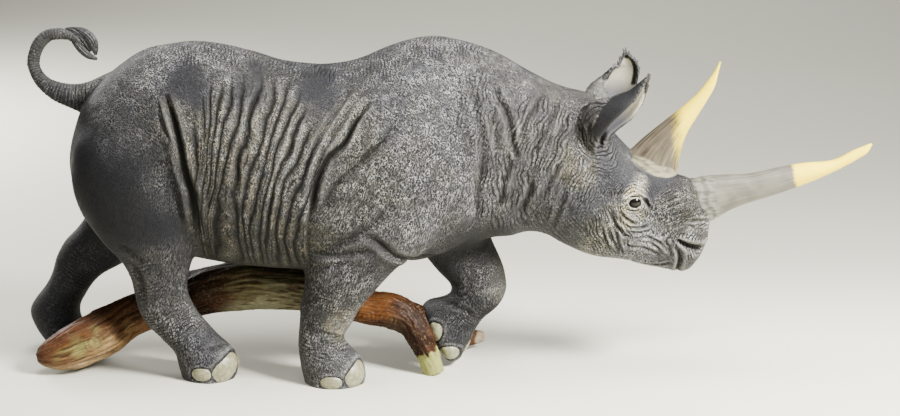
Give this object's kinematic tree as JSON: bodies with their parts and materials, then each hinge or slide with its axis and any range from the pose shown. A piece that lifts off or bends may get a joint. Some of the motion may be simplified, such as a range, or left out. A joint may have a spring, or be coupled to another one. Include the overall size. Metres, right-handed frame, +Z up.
{
  "type": "rhinoceros figurine",
  "caption": "Hand-painted porcelain black rhinoceros striding over a fallen branch, head low, long front horn, curled tail, creased hide.",
  "frame": {"origin": "on the ground, under the middle of the figure's bounding box", "axes": "+X towards the horns, +Y to the animal's left, +Z up"},
  "size_m": [0.607, 0.1302, 0.2481],
  "materials": {
    "painted_hide": "matt hand-painted bisque porcelain, slate grey with warm grey on the raised folds",
    "horn": "satin painted porcelain, taupe grey running to ivory at the tips",
    "toenail": "satin cream painted porcelain",
    "eye": "glossy painted eye",
    "hair": "matt black painted hair",
    "painted_bark": "matt painted porcelain bark, red-brown, tan and olive"
  },
  "bodies": {
    "root": {"rhinoceros": "painted_hide", "branch": "painted_bark"}
  },
  "joints": []
}
